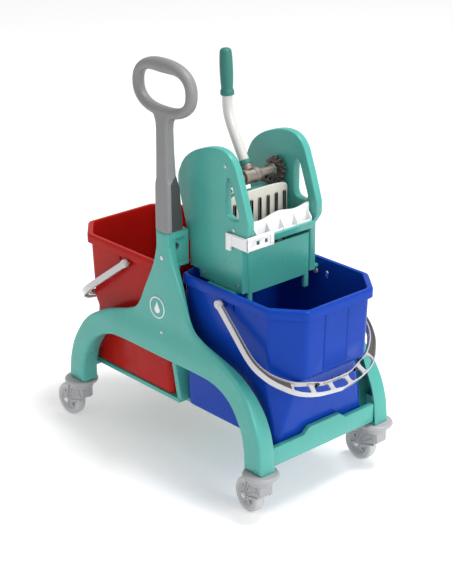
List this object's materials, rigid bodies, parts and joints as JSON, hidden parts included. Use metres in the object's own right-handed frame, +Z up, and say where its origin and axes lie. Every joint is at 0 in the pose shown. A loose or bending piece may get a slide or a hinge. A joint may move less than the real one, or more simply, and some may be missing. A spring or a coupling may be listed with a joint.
{
  "type": "double-bucket mop trolley with press wringer",
  "caption": "Castor-mounted mop trolley with two lift-out buckets side by side, a lever press wringer on one of them and an upright push handle on the side.",
  "frame": {"origin": "on the floor, in the middle of the trolley between the castor stems", "axes": "+X along the trolley towards the blue bucket, -Y towards the side with the push handle, +Z up"},
  "size_m": [0.745, 0.412, 0.8953],
  "materials": {
    "green_plastic": "moulded, satin",
    "blue_plastic": "moulded, satin",
    "red_plastic": "moulded, satin",
    "grey_plastic": "moulded, fine grain",
    "castor_grey": "moulded",
    "wheel_grey": "moulded",
    "tyre": "soft grey tread",
    "bail_grey": "moulded",
    "white_plastic": "moulded",
    "steel": "plated",
    "hub_metal": "zinc plated, dull",
    "press_beige": "moulded",
    "tube_metal": "painted light grey",
    "grip_green": "soft grip"
  },
  "bodies": {
    "chassis": {"base_tray": "green_plastic", "front_end_bar": "green_plastic", "rear_end_bar": "green_plastic", "bucket_divider": "green_plastic", "near_side_panel": "green_plastic", "far_side_panel": "green_plastic", "side_panel_screws": "steel", "push_handle": "grey_plastic", "handle_screws": "steel", "near_front_stem": "steel", "near_rear_stem": "steel", "far_front_stem": "steel", "far_rear_stem": "steel"},
    "near_front_castor": {"near_front_disc": "castor_grey", "near_front_fork": "castor_grey", "near_front_axle": "steel"},
    "near_front_roller": {"near_front_wheel": "wheel_grey", "near_front_tyre": "tyre"},
    "near_rear_castor": {"near_rear_disc": "castor_grey", "near_rear_fork": "castor_grey", "near_rear_axle": "steel"},
    "near_rear_roller": {"near_rear_wheel": "wheel_grey", "near_rear_tyre": "tyre"},
    "far_front_castor": {"far_front_disc": "castor_grey", "far_front_fork": "castor_grey", "far_front_axle": "steel"},
    "far_front_roller": {"far_front_wheel": "wheel_grey", "far_front_tyre": "tyre"},
    "far_rear_castor": {"far_rear_disc": "castor_grey", "far_rear_fork": "castor_grey", "far_rear_axle": "steel"},
    "far_rear_roller": {"far_rear_wheel": "wheel_grey", "far_rear_tyre": "tyre"},
    "blue_bucket": {"blue_bucket": "blue_plastic"},
    "red_bucket": {"red_bucket": "red_plastic"},
    "blue_bail": {"blue_bail": "bail_grey"},
    "red_bail": {"red_bail": "bail_grey"},
    "wringer": {"wringer_near_plate": "green_plastic", "wringer_far_plate": "green_plastic", "wringer_front_wall": "green_plastic", "wringer_back_wall": "green_plastic", "wringer_seat_frame": "green_plastic", "wringer_drain_grid": "green_plastic", "wringer_lip": "green_plastic", "wringer_grille": "white_plastic", "wringer_clip": "white_plastic", "wringer_screws": "steel", "rack_guide": "green_plastic"},
    "press": {"press_plate": "press_beige", "press_racks": "hub_metal"},
    "lever": {"lever_shaft": "hub_metal", "lever_pinions": "hub_metal", "lever_hub": "hub_metal", "lever_tube": "tube_metal", "lever_grip": "grip_green"}
  },
  "joints": [
    {"name": "near_front_swivel", "type": "hinge", "parent": "chassis", "child": "near_front_castor", "pos_m": [0.3, -0.168, 0.1], "axis": [0, 0, 1], "continuous": true},
    {"name": "near_front_roll", "type": "hinge", "parent": "near_front_castor", "child": "near_front_roller", "pos_m": [0.26228, -0.16337, 0.038], "axis": [0.1219, 0.9925, 0], "continuous": true},
    {"name": "near_rear_swivel", "type": "hinge", "parent": "chassis", "child": "near_rear_castor", "pos_m": [-0.3, -0.168, 0.1], "axis": [0, 0, 1], "continuous": true},
    {"name": "near_rear_roll", "type": "hinge", "parent": "near_rear_castor", "child": "near_rear_roller", "pos_m": [-0.33791, -0.17065, 0.038], "axis": [-0.0698, 0.9976, 0], "continuous": true},
    {"name": "far_front_swivel", "type": "hinge", "parent": "chassis", "child": "far_front_castor", "pos_m": [0.3, 0.168, 0.1], "axis": [0, 0, 1], "continuous": true},
    {"name": "far_front_roll", "type": "hinge", "parent": "far_front_castor", "child": "far_front_roller", "pos_m": [0.26205, 0.16601, 0.038], "axis": [-0.0523, 0.9986, 0], "continuous": true},
    {"name": "far_rear_swivel", "type": "hinge", "parent": "chassis", "child": "far_rear_castor", "pos_m": [-0.3, 0.168, 0.1], "axis": [0, 0, 1], "continuous": true},
    {"name": "far_rear_roll", "type": "hinge", "parent": "far_rear_castor", "child": "far_rear_roller", "pos_m": [-0.33791, 0.17065, 0.038], "axis": [0.0698, 0.9976, 0], "continuous": true},
    {"name": "blue_bucket_lift", "type": "slide", "parent": "chassis", "child": "blue_bucket", "axis": [0, 0, 1], "range_m": [0, 0.3]},
    {"name": "red_bucket_lift", "type": "slide", "parent": "chassis", "child": "red_bucket", "axis": [0, 0, 1], "range_m": [0, 0.1]},
    {"name": "blue_bail_swing", "type": "hinge", "parent": "blue_bucket", "child": "blue_bail", "pos_m": [0.152, 0, 0.418], "axis": [0, -1, 0], "range_deg": [0, 105]},
    {"name": "red_bail_swing", "type": "hinge", "parent": "red_bucket", "child": "red_bail", "pos_m": [-0.152, 0, 0.418], "axis": [0, 1, 0], "range_deg": [0, 125]},
    {"name": "wringer_lift", "type": "slide", "parent": "blue_bucket", "child": "wringer", "axis": [0, 0, 1], "range_m": [0, 0.15]},
    {"name": "press_lever", "type": "hinge", "parent": "wringer", "child": "lever", "pos_m": [0.085, 0, 0.64], "axis": [0, -1, 0], "range_deg": [0, 75]},
    {"name": "press_plate_slide", "type": "slide", "parent": "wringer", "child": "press", "axis": [1, 0, 0], "range_m": [0, 0.0325]}
  ],
  "couplings": [
    {"joint": "press_plate_slide", "follows": "press_lever", "m_per_rad": 0.024}
  ]
}
